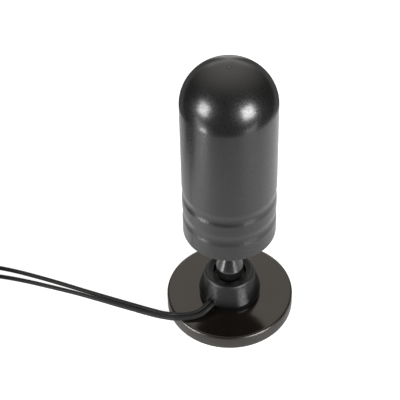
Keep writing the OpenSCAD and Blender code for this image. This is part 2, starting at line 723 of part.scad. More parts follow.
module top_spacer() {
    color(nylon_grey) translate([0, 0, spacer_z]) difference() {
        cylinder(d = body_bore_d - 4 * loose, h = spacer_t);
        translate([0, 0, -overcut]) cylinder(d = board_w / 3, h = spacer_t + 2 * overcut);
        translate([0, 0, -overcut]) board_slots(3 * spacer_t / 4 + overcut);
    }
}

module inner_leads() {
    across = lead_half * direction(lead_az + 90);
    z = inner_levels;
    color(rubber_black) {
        tube(concat([for (k = [0:2]) across + [0, 0, z[k]]], [[2, -2, z[3]]],
            [for (k = [4:5]) [inner_spread, -inner_spread - dipole_t, z[k]]]), lead_d, 8, [1, 1, 0]);
        tube(concat([for (k = [0:2]) -across + [0, 0, z[k]]], [[-2, 2, z[3]]],
            [for (k = [4:5]) [-inner_spread - dipole_t, inner_spread, z[k]]]), lead_d, 8, [1, 1, 0]);
    }
}

module lead_1() {
    color(rubber_black) tube(lead_1_route, lead_d, 8);
}

module lead_2() {
    color(rubber_black) tube(lead_2_route, lead_d, 8);
}

module coil(i) {
    p = coil_points(i);
    echo("least gap of the coil to itself in mm", coil_self_gap(p));
    color(rubber_black) tube(p, lead_d, coil_sides);
}

module coil_1() {
    coil(0);
}

module coil_2() {
    coil(1);
}

// Strap round the whole section of a coil, lying under it as its foot
module coil_tie() {
    inner_r = coil_in_r - lead_d / 2 - tie_play;
    outer_r = coil_out_r + lead_d / 2 + tie_play;
    inner_h = coil_rise + lead_d + 2 * tie_play;
    translate([0, -tie_w / 2, 0]) difference() {
        translate([inner_r - tie_t, 0, 0]) cube([outer_r - inner_r + 2 * tie_t, tie_w, inner_h + 2 * tie_t]);
        translate([inner_r, -overcut, tie_t]) cube([outer_r - inner_r, tie_w + 2 * overcut, inner_h]);
    }
}

module coil_ties() {
    color(rubber_black) for (i = [0:1]) translate([coil_centre[i][0], coil_centre[i][1], 0])
        around(tie_angles[i], 0) coil_tie();
}

module tail_1() {
    color(rubber_black) tube(tail_1_route, lead_d, 8);
}

module tail_2() {
    color(rubber_black) tube(tail_2_route, lead_d, 8);
}

module plug_boot(i) {
    color(rubber_black) at_plug(i) {
        cylinder(d1 = lead_d + 0.8, d2 = lead_d + 1.8, h = boot_l / 3);
        translate([0, 0, boot_l / 3]) cylinder(d = lead_d + 1.8, h = boot_l - boot_l / 3);
    }
}

module plug_boot_1() {
    plug_boot(0);
}

module plug_boot_2() {
    plug_boot(1);
}

module plug_body(i) {
    color(gold_yellow) at_plug(i) difference() {
        union() {
            translate([0, 0, boot_l]) cylinder(d = plug_body_d, h = plug_body_l);
            translate([0, 0, boot_l]) cylinder(d = plug_neck_d, h = plug_body_l + plug_neck_l + plug_shell_l);
            translate([0, 0, plug_shell_x]) cylinder(d = plug_shell_d, h = plug_shell_l);
        }
        translate([0, 0, plug_shell_x]) cylinder(d = plug_shell_bore, h = plug_shell_l + overcut);
        translate([0, 0, plug_pin_x - snug]) cylinder(d = pin_d + 2 * snug, h = plug_pin_l);
    }
}

module plug_body_1() {
    plug_body(0);
}

module plug_body_2() {
    plug_body(1);
}

module plug_insulators() {
    color(ptfe_white) for (i = [0:1]) at_plug(i) translate([0, 0, plug_shell_x]) difference() {
        cylinder(d = plug_shell_bore - 2 * snug, h = plug_shell_l - 0.4);
        translate([0, 0, -overcut]) cylinder(d = pin_d + 2 * snug, h = plug_shell_l + 2 * overcut);
    }
}

module plug_pins() {
    color(gold_yellow) for (i = [0:1]) at_plug(i) translate([0, 0, plug_pin_x]) {
        cylinder(d = pin_d, h = plug_pin_l);
        translate([0, 0, plug_pin_l]) cylinder(d1 = pin_d, d2 = pin_d / 2, h = pin_d / 2);
    }
}

module coupling_nut(i) {
    nut_x = plug_collar_x + snug;
    color(gold_yellow) at_plug(i) translate([0, 0, nut_x]) difference() {
        hex(plug_nut_af, plug_nut_l);
        translate([0, 0, -overcut]) cylinder(d = plug_neck_d + 2 * turning, h = plug_nut_l + 2 * overcut);
        translate([0, 0, plug_web_l]) cylinder(d = plug_nut_bore, h = plug_nut_l);
    }
}

module coupling_nut_1() {
    coupling_nut(0);
}

module coupling_nut_2() {
    coupling_nut(1);
}

foot_shell();
foot_pad();
ring_magnet();
yoke_plate();
cup_screws();
socket_cup();
ball_seat();
retaining_ring();
lead_grommet();
cup_leads();
ball_stud();
bottom_cap();
stud_washer();
stud_nut();
cap_seal();
cap_screws();
radome();
board_carrier();
carrier_screws();
antenna_board_1();
antenna_board_2();
dipole_1();
dipole_2();
top_spacer();
inner_leads();
lead_1();
lead_2();
coil_1();
coil_2();
coil_ties();
tail_1();
tail_2();
plug_boot_1();
plug_boot_2();
plug_body_1();
plug_body_2();
plug_insulators();
plug_pins();
coupling_nut_1();
coupling_nut_2();
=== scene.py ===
import math

import bmesh
import bpy
import numpy as np
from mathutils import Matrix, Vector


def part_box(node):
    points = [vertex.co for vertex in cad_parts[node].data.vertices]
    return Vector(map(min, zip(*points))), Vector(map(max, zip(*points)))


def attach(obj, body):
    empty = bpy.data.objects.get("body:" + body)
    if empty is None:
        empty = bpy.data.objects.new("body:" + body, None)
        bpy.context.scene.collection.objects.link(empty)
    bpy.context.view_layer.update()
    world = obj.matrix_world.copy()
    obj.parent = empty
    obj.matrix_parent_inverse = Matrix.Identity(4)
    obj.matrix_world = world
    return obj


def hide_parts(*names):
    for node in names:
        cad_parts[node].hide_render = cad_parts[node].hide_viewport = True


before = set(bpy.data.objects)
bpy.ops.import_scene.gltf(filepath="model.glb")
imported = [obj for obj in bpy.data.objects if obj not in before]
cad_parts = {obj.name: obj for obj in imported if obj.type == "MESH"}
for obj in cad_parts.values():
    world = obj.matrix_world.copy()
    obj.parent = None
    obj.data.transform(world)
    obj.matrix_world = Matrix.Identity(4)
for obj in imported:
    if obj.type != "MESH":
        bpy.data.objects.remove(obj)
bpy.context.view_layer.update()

# Foot shell: the disc that the antenna stands on, moulded in brown-black plastic with a polished top
# and a finely grained side. It is hollow underneath, where the magnet and the rubber pad are pressed in.


class Socket:
    """An output of a shader node: arithmetic on it adds Math nodes, and node() adds any other node."""

    def __init__(self, tree, output=None):
        self.tree = tree
        self.output = output

    def node(self, kind, settings=None, sockets=None, out=0):
        """Adds a node of this kind, sets its settings and feeds its sockets."""
        made = self.tree.nodes.new(kind)
        for name, value in (settings or {}).items():
            setattr(made, name, value)
        self.feed(made, sockets or {})
        return Socket(self.tree, made.outputs[out])

    def feed(self, made, sockets):
        """Links each named socket of a node to another node's output, or sets its value."""
        for name, value in sockets.items():
            if isinstance(value, Socket):
                self.tree.links.new(value.output, made.inputs[name])
            else:
                made.inputs[name].default_value = value

    def maths(self, operation, *others):
        """A Math node with this value in its first socket and the others in the next ones."""
        return self.node("ShaderNodeMath", {"operation": operation}, dict(enumerate((self, *others))))

    def __add__(self, other):
        return self.maths("ADD", other)

    def __sub__(self, other):
        return self.maths("SUBTRACT", other)

    def __rsub__(self, other):
        return self.maths("MULTIPLY_ADD", -1, other)

    def __mul__(self, other):
        return self.maths("MULTIPLY", other)

    def __truediv__(self, other):
        return self.maths("DIVIDE", other)

    def __pow__(self, other):
        return self.maths("POWER", other)

    __radd__ = __add__
    __rmul__ = __mul__

    def step(self, low, high):
        """0 below low, 1 above high and a soft rise between them; low above high gives the fall."""
        return self.node(
            "ShaderNodeMapRange",
            {"interpolation_type": "SMOOTHSTEP"},
            {"Value": self, "From Min": low, "From Max": high},
        )

    def noise(self, size, detail=2.0, roughness=0.5):
        """Cloudy value from 0 to 1 with features of this size, in metres."""
        return self.node(
            "ShaderNodeTexNoise",
            {},
            {"Vector": self, "Scale": 1 / size, "Detail": detail, "Roughness": roughness},
        )

    def axis(self, name):
        """This vector's X, Y or Z."""
        return self.node("ShaderNodeSeparateXYZ", {}, {"Vector": self}, name)

    def raised(self, depth):
        """Normal of a surface that this height from 0 to 1 raises by depth, in metres."""
        return self.node("ShaderNodeBump", {}, {"Height": self, "Distance": depth})

    def tint(self, dark, light):
        """Colour between two colours, mixed by this value."""
        return self.node(
            "ShaderNodeMix", {"data_type": "RGBA"}, {"Factor": self, 6: (*dark, 1), 7: (*light, 1)}, 2
        )


def finish(name, constants):
    """A material with one Principled shader: returns it, its shader and the surface's Object coordinates."""
    material = bpy.data.materials.new(name)
    material.use_nodes = True
    shader = material.node_tree.nodes["Principled BSDF"]
    start = Socket(material.node_tree)
    start.feed(shader, constants)
    return material, shader, start.node("ShaderNodeTexCoord", out="Object")


def arc(centre, radius, start, end, count):
    """Points (r, z) = centre + radius (cos a, sin a) with a from start to end in degrees."""
    a = np.radians(np.linspace(start, end, count))
    return np.stack([centre[0] + radius * np.cos(a), centre[1] + radius * np.sin(a)], axis=1)


def revolve(profile, count=192):
    """Grid of a turned surface: profile point (r, z) goes to (r cos a, r sin a, z) for each azimuth a."""
    r, z = np.asarray(profile).T
    a = np.arange(count)[:, None] * 2 * np.pi / count
    return np.stack([r * np.cos(a), r * np.sin(a), z + 0 * a], axis=2)


def quads(rows, columns, round_rows, round_columns):
    """Corner numbers of the cells of a grid that closes on itself where it is round."""
    i = np.arange(rows if round_rows else rows - 1)[:, None]
    j = np.arange(columns if round_columns else columns - 1)
    i2, j2 = (i + 1) % rows, (j + 1) % columns
    return np.stack([i * columns + j, i2 * columns + j, i2 * columns + j2, i * columns + j2], axis=2)


def solid(name, grids, material, body, slot, stands_for=(), sharp=35):
    """A piece from grids of points, each with a pair that says which of its directions close on themselves.
    Seams and poles are merged, faces turned outwards, and edges over sharp degrees stay crisp."""
    points, faces, count = [], [], 0
    for grid, closed in grids:
        rows, columns = grid.shape[:2]
        points.append(grid.reshape(-1, 3))
        faces.append(quads(rows, columns, *closed).reshape(-1, 4) + count)
        count += rows * columns
    faces = np.concatenate(faces).tolist()
    return skinned(name, np.concatenate(points), faces, material, body, slot, stands_for, sharp)


def skinned(name, points, faces, material, body, slot, stands_for=(), sharp=35):
    """A piece from points and faces, merged, turned outwards, shaded and put on its body."""
    mesh = bpy.data.meshes.new(name)
    mesh.from_pydata(points.tolist(), [], faces)
    welded = bmesh.new()
    welded.from_mesh(mesh)
    bmesh.ops.remove_doubles(welded, verts=welded.verts, dist=1e-6)
    bmesh.ops.recalc_face_normals(welded, faces=welded.faces)
    welded.to_mesh(mesh)
    welded.free()
    mesh.shade_smooth()
    mesh.set_sharp_from_angle(angle=math.radians(sharp))
    mesh.materials.append(material)
    made = bpy.data.objects.new(name, mesh)
    bpy.context.scene.collection.objects.link(made)
    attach(made, body)
    if stands_for:
        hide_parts(*stands_for)
    return made


mm = 0.001
foot_low, foot_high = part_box("foot_shell")
foot_r = foot_high.x
foot_top = foot_high.z
foot_sole = foot_low.z
pad_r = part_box("foot_pad")[1].x
pad_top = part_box("foot_pad")[1].z
magnet_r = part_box("ring_magnet")[1].x
magnet_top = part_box("yoke_plate")[1].z
edge_r = 1.8 * mm
grain_edge = (0.9 * mm, 0.3 * mm)
sole_r = 0.4 * mm
pocket_play = 0.05 * mm

foot_plastic, shader, place = finish("foot_plastic", {"IOR": 1.5, "Specular Tint": (1, 0.95, 0.89, 1)})
from_middle = (place.axis("X") ** 2 + place.axis("Y") ** 2) ** 0.5
side = from_middle.step(foot_r - grain_edge[0], foot_r - grain_edge[1])
cloud = place.noise(9 * mm, 3)
grit = place.noise(0.35 * mm, 2)
place.feed(shader, {
    "Base Color": cloud.tint((0.0042, 0.0034, 0.0026), (0.0060, 0.0049, 0.0040)),
    "Roughness": 0.1 + cloud * 0.05 + side * (0.16 + grit * 0.1),
    "Normal": (grit * (0.08 + side * 0.92)).raised(0.03 * mm),
})
foot_profile = np.concatenate([
    [(0, foot_top)],
    arc((foot_r - edge_r, foot_top - edge_r), edge_r, 90, 0, 9),
    arc((foot_r - sole_r, foot_sole + sole_r), sole_r, 0, -90, 7),
    [
        (pad_r + pocket_play, foot_sole), (pad_r + pocket_play, pad_top + pocket_play),
        (magnet_r + pocket_play, pad_top + pocket_play), (magnet_r + pocket_play, magnet_top + pocket_play),
        (0, magnet_top + pocket_play),
    ],
])
solid("foot", [(revolve(foot_profile), (True, False))], foot_plastic, "base", "foot_shell", ["foot_shell"])

# Inside the foot: a ferrite ring magnet under a zinc-plated yoke plate, and the rubber pad glued into the
# sole. Three zinc-plated screws go up through the shell and hold the cup.


def dress(material, *nodes):
    """Gives CAD nodes a finish."""
    for node in nodes:
        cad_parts[node].material_slots[0].material = material


rubber, shader, place = finish("black_rubber", {"IOR": 1.5, "Specular IOR Level": 0.35})
mottle = place.noise(2 * mm, 4)
place.feed(shader, {
    "Base Color": mottle.tint((0.010, 0.010, 0.010), (0.018, 0.018, 0.017)),
    "Roughness": 0.62 + mottle * 0.2,
    "Normal": place.noise(0.25 * mm).raised(0.04 * mm),
})
dress(rubber, "foot_pad", "cap_seal")

ferrite, shader, place = finish("sintered_ferrite", {"IOR": 2.2})
speck = place.noise(0.4 * mm, 4)
place.feed(shader, {
    "Base Color": speck.tint((0.035, 0.034, 0.036), (0.075, 0.074, 0.08)),
    "Roughness": 0.45 + speck * 0.25,
    "Normal": speck.raised(0.03 * mm),
})
dress(ferrite, "ring_magnet")

zinc, shader, place = finish("zinc_plate", {"Metallic": 1.0})
spangle = place.noise(1.2 * mm, 3)
place.feed(shader, {
    "Base Color": spangle.tint((0.52, 0.53, 0.55), (0.68, 0.69, 0.70)),
    "Roughness": 0.26 + spangle * 0.16,
    "Normal": place.noise(0.15 * mm).raised(0.006 * mm),
})
dress(zinc, "yoke_plate", "cup_screws", "stud_washer", "stud_nut", "cap_screws", "carrier_screws")

# Socket cup: the moulded cone on the foot that holds the ball joint, satin black plastic. Its open mouth
# is bored for the retaining ring, and a round hole in its side lets the two leads out.
cup_low, cup_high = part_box("socket_cup")
cup_wide_r = cup_high.x
cup_foot_r = 18.4 * mm
cup_wide_h = 3.6 * mm
cup_swell_end = 112
cup_cone_lean = 14
cup_rim_r = 16 * mm
rim_round = 2 * mm
mouth_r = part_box("retaining_ring")[1].x + 0.1 * mm
mouth_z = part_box("retaining_ring")[1].z
mouth_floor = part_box("ball_seat")[1].z - 1.5 * mm
hollow_r = 15.2 * mm
web_r = 11 * mm
web_t = 2 * mm
hole_r = 3.5 * mm
hole_edge = 0.3 * mm
hole_z = 15.6 * mm
hole_azimuth = math.radians(-127)
hole_way = np.array([math.cos(hole_azimuth), math.sin(hole_azimuth), 0])
hole_depth_r = 15.7 * mm
hole_cells = 9
hole_reach = 1.75


def turned(grid, angle):
    """A grid turned about Z by an angle in radians."""
    c, s = math.cos(angle), math.sin(angle)
    return grid @ np.array([[c, s, 0], [-s, c, 0], [0, 0, 1]])


def cup_outline():
    """The cup's outside from its foot to the rim: an ellipse's arc that swells from the foot to the widest
    ring and past it, until it runs into the straight cone, then the rim's round edge."""
    a = np.radians(np.linspace(0, cup_swell_end, 29))
    swell = np.stack([
        cup_foot_r + (cup_wide_r - cup_foot_r) * np.sin(a), cup_low.z + cup_wide_h * (1 - np.cos(a))
    ], axis=1)
    rim = arc((cup_rim_r - rim_round, cup_high.z - rim_round), rim_round, cup_cone_lean, 90, 8)
    cone = swell[-1] + (rim[0] - swell[-1]) * np.linspace(0, 1, 40)[1:-1, None]
    return np.concatenate([swell, cone, rim])


def pierced_wall(outline, count):
    """The turned outline as a grid whose rows near the hole run round it: on square rings of cells about the
    hole's middle, points move from their own place to a circle, fully at the hole and not at all farther out.
    Returns the grid, which cells stay, and the numbers of the points round the hole in turn."""
    reach = hole_reach * hole_r
    low = np.searchsorted(outline[:, 1], hole_z - reach)
    high = np.searchsorted(outline[:, 1], hole_z + reach)
    half_rows = int(hole_cells * hole_reach)
    rows_z = hole_z + np.arange(-half_rows, half_rows + 1) * hole_r / hole_cells
    z = np.concatenate([outline[:low, 1], rows_z, outline[high:, 1]])
    r = np.concatenate([outline[:low, 0], np.interp(rows_z, outline[:, 1], outline[:, 0]), outline[high:, 0]])
    middle_row = low + half_rows
    di = np.arange(count)[:, None] - count // 2 + 0 * np.arange(len(z))
    dj = np.arange(len(z)) - middle_row + 0 * di
    ring = np.maximum(np.abs(di), np.abs(dj))
    along_i, along_j = 45 * di / np.maximum(ring, 1), 45 * dj / np.maximum(ring, 1)
    spin = np.select(
        [(-dj == ring) & (di < ring), (di == ring) & (dj < ring), (dj == ring) & (-di < ring)],
        [-90 + along_i, along_j, 90 - along_i],
        180 - along_j,
    )
    circle = hole_r * ring / hole_cells
    pull = np.clip((half_rows - ring) / (half_rows - hole_cells), 0, 1)
    pull = pull * pull * (3 - 2 * pull)
    z_grid = z + pull * (hole_z + circle * np.sin(np.radians(spin)) - z)
    r_grid = np.where(ring <= half_rows, np.interp(z_grid, outline[:, 1], outline[:, 0]), r)
    turn = di * 2 * np.pi / count
    across = np.clip(circle * np.cos(np.radians(spin)) / r_grid, -1, 1)
    turn = hole_azimuth + turn + pull * (np.arcsin(across) - turn)
    grid = np.stack([r_grid * np.cos(turn), r_grid * np.sin(turn), z_grid], axis=2)
    stays = ~((di >= -hole_cells) & (di < hole_cells) & (dj >= -hole_cells) & (dj < hole_cells))
    k = np.arange(-hole_cells, hole_cells)
    edge = hole_cells + 0 * k
    loop_i = np.concatenate([k, edge, -k, -edge]) + count // 2
    loop_j = np.concatenate([-edge, k, edge, -k]) + middle_row
    return grid, stays[:, :-1], loop_i * len(z) + loop_j


def cup_mesh(count=256):
    """Points and faces of the cup: the pierced outside, the bored inside turned from its own outline, and a
    round tunnel from the hole's edge inwards, closed near the hollow."""
    wall, stays, loop = pierced_wall(cup_outline(), count)
    inside = revolve([
        (cup_rim_r - rim_round, cup_high.z), (mouth_r, mouth_z), (mouth_r, mouth_floor),
        (web_r, mouth_floor), (web_r, mouth_floor - web_t), (hollow_r, mouth_floor - web_t),
        (hollow_r, cup_low.z), (cup_foot_r, cup_low.z),
    ], count)
    inside = turned(inside, hole_azimuth - math.pi)
    points = np.concatenate([wall.reshape(-1, 3), inside.reshape(-1, 3)])
    faces = [
        quads(*wall.shape[:2], True, False)[stays],
        quads(*inside.shape[:2], True, False).reshape(-1, 4) + wall[..., 0].size,
    ]
    rim = points[loop]
    axis_point = np.array([0, 0, hole_z]) + hole_way * (rim @ hole_way)[:, None]
    bevel = np.linspace(0, 1, 5)[:, None, None] * math.pi / 2
    rolled = axis_point + (rim - axis_point) * (1 - hole_edge / hole_r * np.sin(bevel))
    rolled = rolled - hole_way * hole_edge * (1 - np.cos(bevel))
    deep = rolled[-1] + hole_way * (hole_depth_r - rolled[-1] @ hole_way)[:, None]
    end = np.broadcast_to(deep.mean(axis=0), deep.shape)
    tunnel = np.concatenate([rolled, deep[None], end[None]])
    faces.append(quads(*tunnel.shape[:2], False, True).reshape(-1, 4) + len(points))
    points = np.concatenate([points, tunnel.reshape(-1, 3)])
    return points, np.concatenate(faces).tolist()


satin, shader, place = finish("satin_plastic", {"IOR": 1.43})
cloud = place.noise(14 * mm, 3)
grit = place.noise(0.3 * mm, 2)
flattened = place.node("ShaderNodeMapping", {}, {"Vector": place, "Scale": (0.03, 0.03, 1)})
rings = flattened.noise(0.7 * mm, 2)
worn = place.axis("Z").step(cup_high.z - 1.5 * rim_round, cup_high.z - 0.6 * rim_round)
place.feed(shader, {
    "Base Color": cloud.tint((0.001, 0.001, 0.001), (0.0015, 0.0015, 0.0015)),
    "Roughness": 0.22 + cloud * 0.04 + grit * 0.06 + worn * 0.2,
    "Normal": (grit * 0.3 + rings).raised(0.03 * mm),
})
skinned("socket_cup_shell", *cup_mesh(), satin, "base", "satin_shell", ["socket_cup"])

# Ball seat, retaining ring and lead grommet: a natural nylon seat turns in the cup under the ball, a black
# ring with two key holes screws in over it, and a rubber sleeve lines the lead hole.
nylon, shader, place = finish("natural_nylon", {"IOR": 1.53, "Subsurface Weight": 0.1})
cloud = place.noise(5 * mm, 3)
place.feed(shader, {
    "Base Color": cloud.tint((0.36, 0.34, 0.30), (0.44, 0.42, 0.37)),
    "Roughness": 0.4 + cloud * 0.15,
    "Normal": place.noise(0.5 * mm).raised(0.01 * mm),
})
dress(nylon, "ball_seat", "board_carrier", "top_spacer")
dress(satin, "bottom_cap")

smooth, shader, place = finish("smooth_plastic", {"IOR": 1.37})
cloud = place.noise(6 * mm, 3)
place.feed(shader, {
    "Base Color": cloud.tint((0.0015, 0.0015, 0.0015), (0.0025, 0.0025, 0.0025)),
    "Roughness": 0.46 + cloud * 0.06,
    "Normal": place.noise(0.4 * mm).raised(0.006 * mm),
})
dress(smooth, "retaining_ring")

sleeve_r = 3.45 * mm
sleeve_bore = 3.15 * mm
sleeve_span = (14.4 * mm, 19.2 * mm)
lip = 0.12 * mm
sleeve = revolve([
    (sleeve_bore, sleeve_span[0]), (sleeve_r, sleeve_span[0]), (sleeve_r, sleeve_span[1] - lip),
    (sleeve_r - lip, sleeve_span[1]), (sleeve_bore + lip, sleeve_span[1]),
    (sleeve_bore, sleeve_span[1] - lip),
], 72)
sideways = np.cross([0, 0, 1], hole_way)
sleeve = sleeve @ np.stack([sideways, [0, 0, 1], hole_way]) + [0, 0, hole_z]
solid("grommet", [(sleeve, (True, True))], rubber, "base", "black_rubber", ["lead_grommet"])

# Ball stud: one glossy black moulding, with the ball below, the bell that hides the joint, a cone up to the
# stem, the flange that the antenna sits on and a bored shank for the leads.
stud_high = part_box("ball_stud")[1]
ball_r = 7 * mm
ball_z = 24 * mm
stud_bore_r = 3.1 * mm
neck_r = 4.2 * mm
bell_r = 8.7 * mm
bell_round = 60 * mm
bell_z = ball_z + 8 * mm
bell_under = ball_z + 4.8 * mm
bell_lip = 0.5 * mm
shoulder_z = ball_z + 11 * mm
cone_slope = 20.5
stem_r = 5.2 * mm
cap_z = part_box("bottom_cap")[0].z
flange_r = stud_high.x
flange_t = 2.6 * mm
flare_r = 2 * mm
shank_r = 5 * mm
bell_from = math.degrees(math.asin((bell_under + bell_lip - bell_z) / bell_round))
bell_to = math.degrees(math.asin((shoulder_z - bell_z) / bell_round))
bell_side = arc((bell_r - bell_round, bell_z), bell_round, bell_from, bell_to, 17)
cone_top = shoulder_z + (bell_side[-1, 0] - stem_r) / math.tan(math.radians(cone_slope))
ball_from = -math.degrees(math.acos(stud_bore_r / ball_r))
ball_to = math.degrees(math.acos(neck_r / ball_r))
stud_profile = np.concatenate([
    arc((0, ball_z), ball_r, ball_from, ball_to, 33),
    [(neck_r, bell_under)],
    arc((bell_side[0, 0] - bell_lip, bell_under + bell_lip), bell_lip, -90, 0, 7)[:-1],
    bell_side,
    np.linspace(bell_side[-1], (stem_r, cone_top), 12)[1:],
    arc((stem_r + flare_r, cap_z - flange_t - flare_r), flare_r, 180, 90, 9),
    [(flange_r, cap_z - flange_t), (flange_r, cap_z)],
    [(shank_r, cap_z), (shank_r, stud_high.z), (stud_bore_r, stud_high.z)],
])
gloss, shader, place = finish("gloss_plastic", {"IOR": 1.58})
cloud = place.noise(6 * mm, 3)
place.feed(shader, {
    "Base Color": cloud.tint((0.004, 0.004, 0.004), (0.006, 0.006, 0.006)),
    "Roughness": 0.16 + cloud * 0.04,
    "Normal": place.noise(1.5 * mm).raised(0.004 * mm),
})
solid("stud", [(revolve(stud_profile, 160), (True, True))], gloss, "antenna", "gloss_stud", ["ball_stud"])

# Radome: the domed tube over the antenna boards, moulded in one piece of satin black plastic with a fine
# spark texture, two rolled ring grooves near its open end and the small gate mark at its pole.
body_low, body_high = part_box("radome")
body_r = body_high.x
body_top_r = 28.4 * mm
body_h = 100.9 * mm
dome_h = 27.1 * mm
wall_t = 2.2 * mm
lower_round = 0.6 * mm
groove_w = 11 * mm
groove_lean = 0.85
groove_depth = 0.65 * mm
groove_middles = (17 * mm, 34 * mm)
gate_r = 0.95 * mm
gate_h = 0.3 * mm
gate_dimple = 0.12 * mm
dull_facing = (0.5, 0.72)
dull_roughness = 0.7
back_narrowing = (0.65, 0.35)


def body_outline():
    """The radome's outside from its lower edge to the pole: a drafted wall, less (1 - cos 2 pi t^lean) / 2 of
    the depth at each groove, where t goes from 0 at the groove's lower edge to 1, then a quarter ellipse with
    the gate's small step and dimple at the top."""
    h = np.linspace(lower_round, body_h, 331)
    t = np.clip((h - np.array(groove_middles)[:, None]) / groove_w + 0.5, 0, 1)
    grooves = groove_depth * (1 - np.cos(2 * np.pi * t ** groove_lean)).sum(0) / 2
    wall = np.stack([body_r + (body_top_r - body_r) * h / body_h - grooves, h], axis=1)
    r = body_top_r * np.cos(np.radians(np.linspace(0, 88, 89)[1:]))
    r = np.concatenate([r[r > 2 * gate_r], np.linspace(2 * gate_r, 0, 25)])
    dimple = gate_dimple * np.exp(-(((r - 1.35 * gate_r) / (0.3 * gate_r)) ** 2))
    nub = gate_h / (1 + np.exp((r - 0.8 * gate_r) / (0.09 * gate_r)))
    dome = np.stack([r, body_h + dome_h * np.sqrt(1 - (r / body_top_r) ** 2) - dimple + nub], axis=1)
    return np.concatenate([arc((body_r - lower_round, lower_round), lower_round, -90, 0, 9)[:-1], wall, dome])


bore_r = body_top_r - wall_t
climb = np.radians(np.linspace(90, 0, 31))
lining = np.stack([bore_r * np.cos(climb), body_h + (dome_h - wall_t) * np.sin(climb)], axis=1)
body_profile = np.concatenate([lining, [(bore_r, 0)], body_outline()]) + [0, body_low.z]
shell, shader, place = finish("radome_plastic", {"IOR": 1.5})
cloud = place.noise(18 * mm, 3)
grit = place.noise(0.28 * mm, 2)
# Painted highlight: the base colour is lighter on the small disc of the gate mark at the pole.
gate_painted_highlight = ((place.axis("X") ** 2 + place.axis("Y") ** 2) ** 0.5).step(0.95 * gate_r, 0.7 * gate_r)
# At a low angle the dome is duller, or the lamps' mirror image would wash out its edge. A field at its back
# keeps its gloss.
rise = place.axis("Z") - (body_low.z + body_h)
back = place.axis("Y") - place.axis("X").maths("ABSOLUTE") * back_narrowing[0] - rise * back_narrowing[1]
dulled = rise.step(0, 0.3 * dome_h) * back.step(0.1 * body_top_r, -0.2 * body_top_r)
facing = place.node("ShaderNodeLayerWeight", {}, {"Blend": 0.5}, "Facing")
grazed = facing.step(*dull_facing) * dulled
place.feed(shader, {
    "Base Color": (cloud * 0.04 + gate_painted_highlight * 0.96).tint((0.0035, 0.0035, 0.0035), (0.06, 0.06, 0.06)),
    "Roughness": 0.19 + cloud * 0.03 + grit.step(0.42, 0.65) * 0.24 + grazed * dull_roughness,
    "Normal": grit.raised(0.014 * mm),
})
domed_tube = revolve(body_profile, 256)
solid("radome_shell", [(domed_tube, (True, False))], shell, "antenna", "satin_shell", ["radome"], 50)

# Antenna boards: two glass-fibre boards slotted into each other, green solder mask over a faint weave, with
# bare copper dipole arms on their faces.
mask, shader, place = finish("solder_mask", {"IOR": 1.55, "Coat Weight": 0.4, "Coat Roughness": 0.2})
weave_pitch = 0.6 * mm
threads = 2 * math.pi / weave_pitch
warp = (place.axis("Z") * threads).maths("SINE")
weft = ((place.axis("X") + place.axis("Y")) * threads).maths("SINE")
weave = warp * weft * 0.5 + 0.5
blotch = weave * 0.5 + place.noise(6 * mm) * 0.5
place.feed(shader, {
    "Base Color": blotch.tint((0.008, 0.09, 0.03), (0.018, 0.16, 0.055)),
    "Roughness": 0.3 + weave * 0.1,
    "Normal": weave.raised(0.01 * mm),
})
dress(mask, "antenna_board_1", "antenna_board_2")

copper, shader, place = finish("bare_copper", {"Metallic": 1.0})
tarnish = place.noise(4 * mm, 4)
place.feed(shader, {
    "Base Color": tarnish.tint((0.52, 0.20, 0.09), (0.86, 0.42, 0.24)),
    "Roughness": 0.25 + tarnish * 0.25,
    "Normal": place.noise(0.2 * mm).raised(0.004 * mm),
})
dress(copper, "dipole_1", "dipole_2")

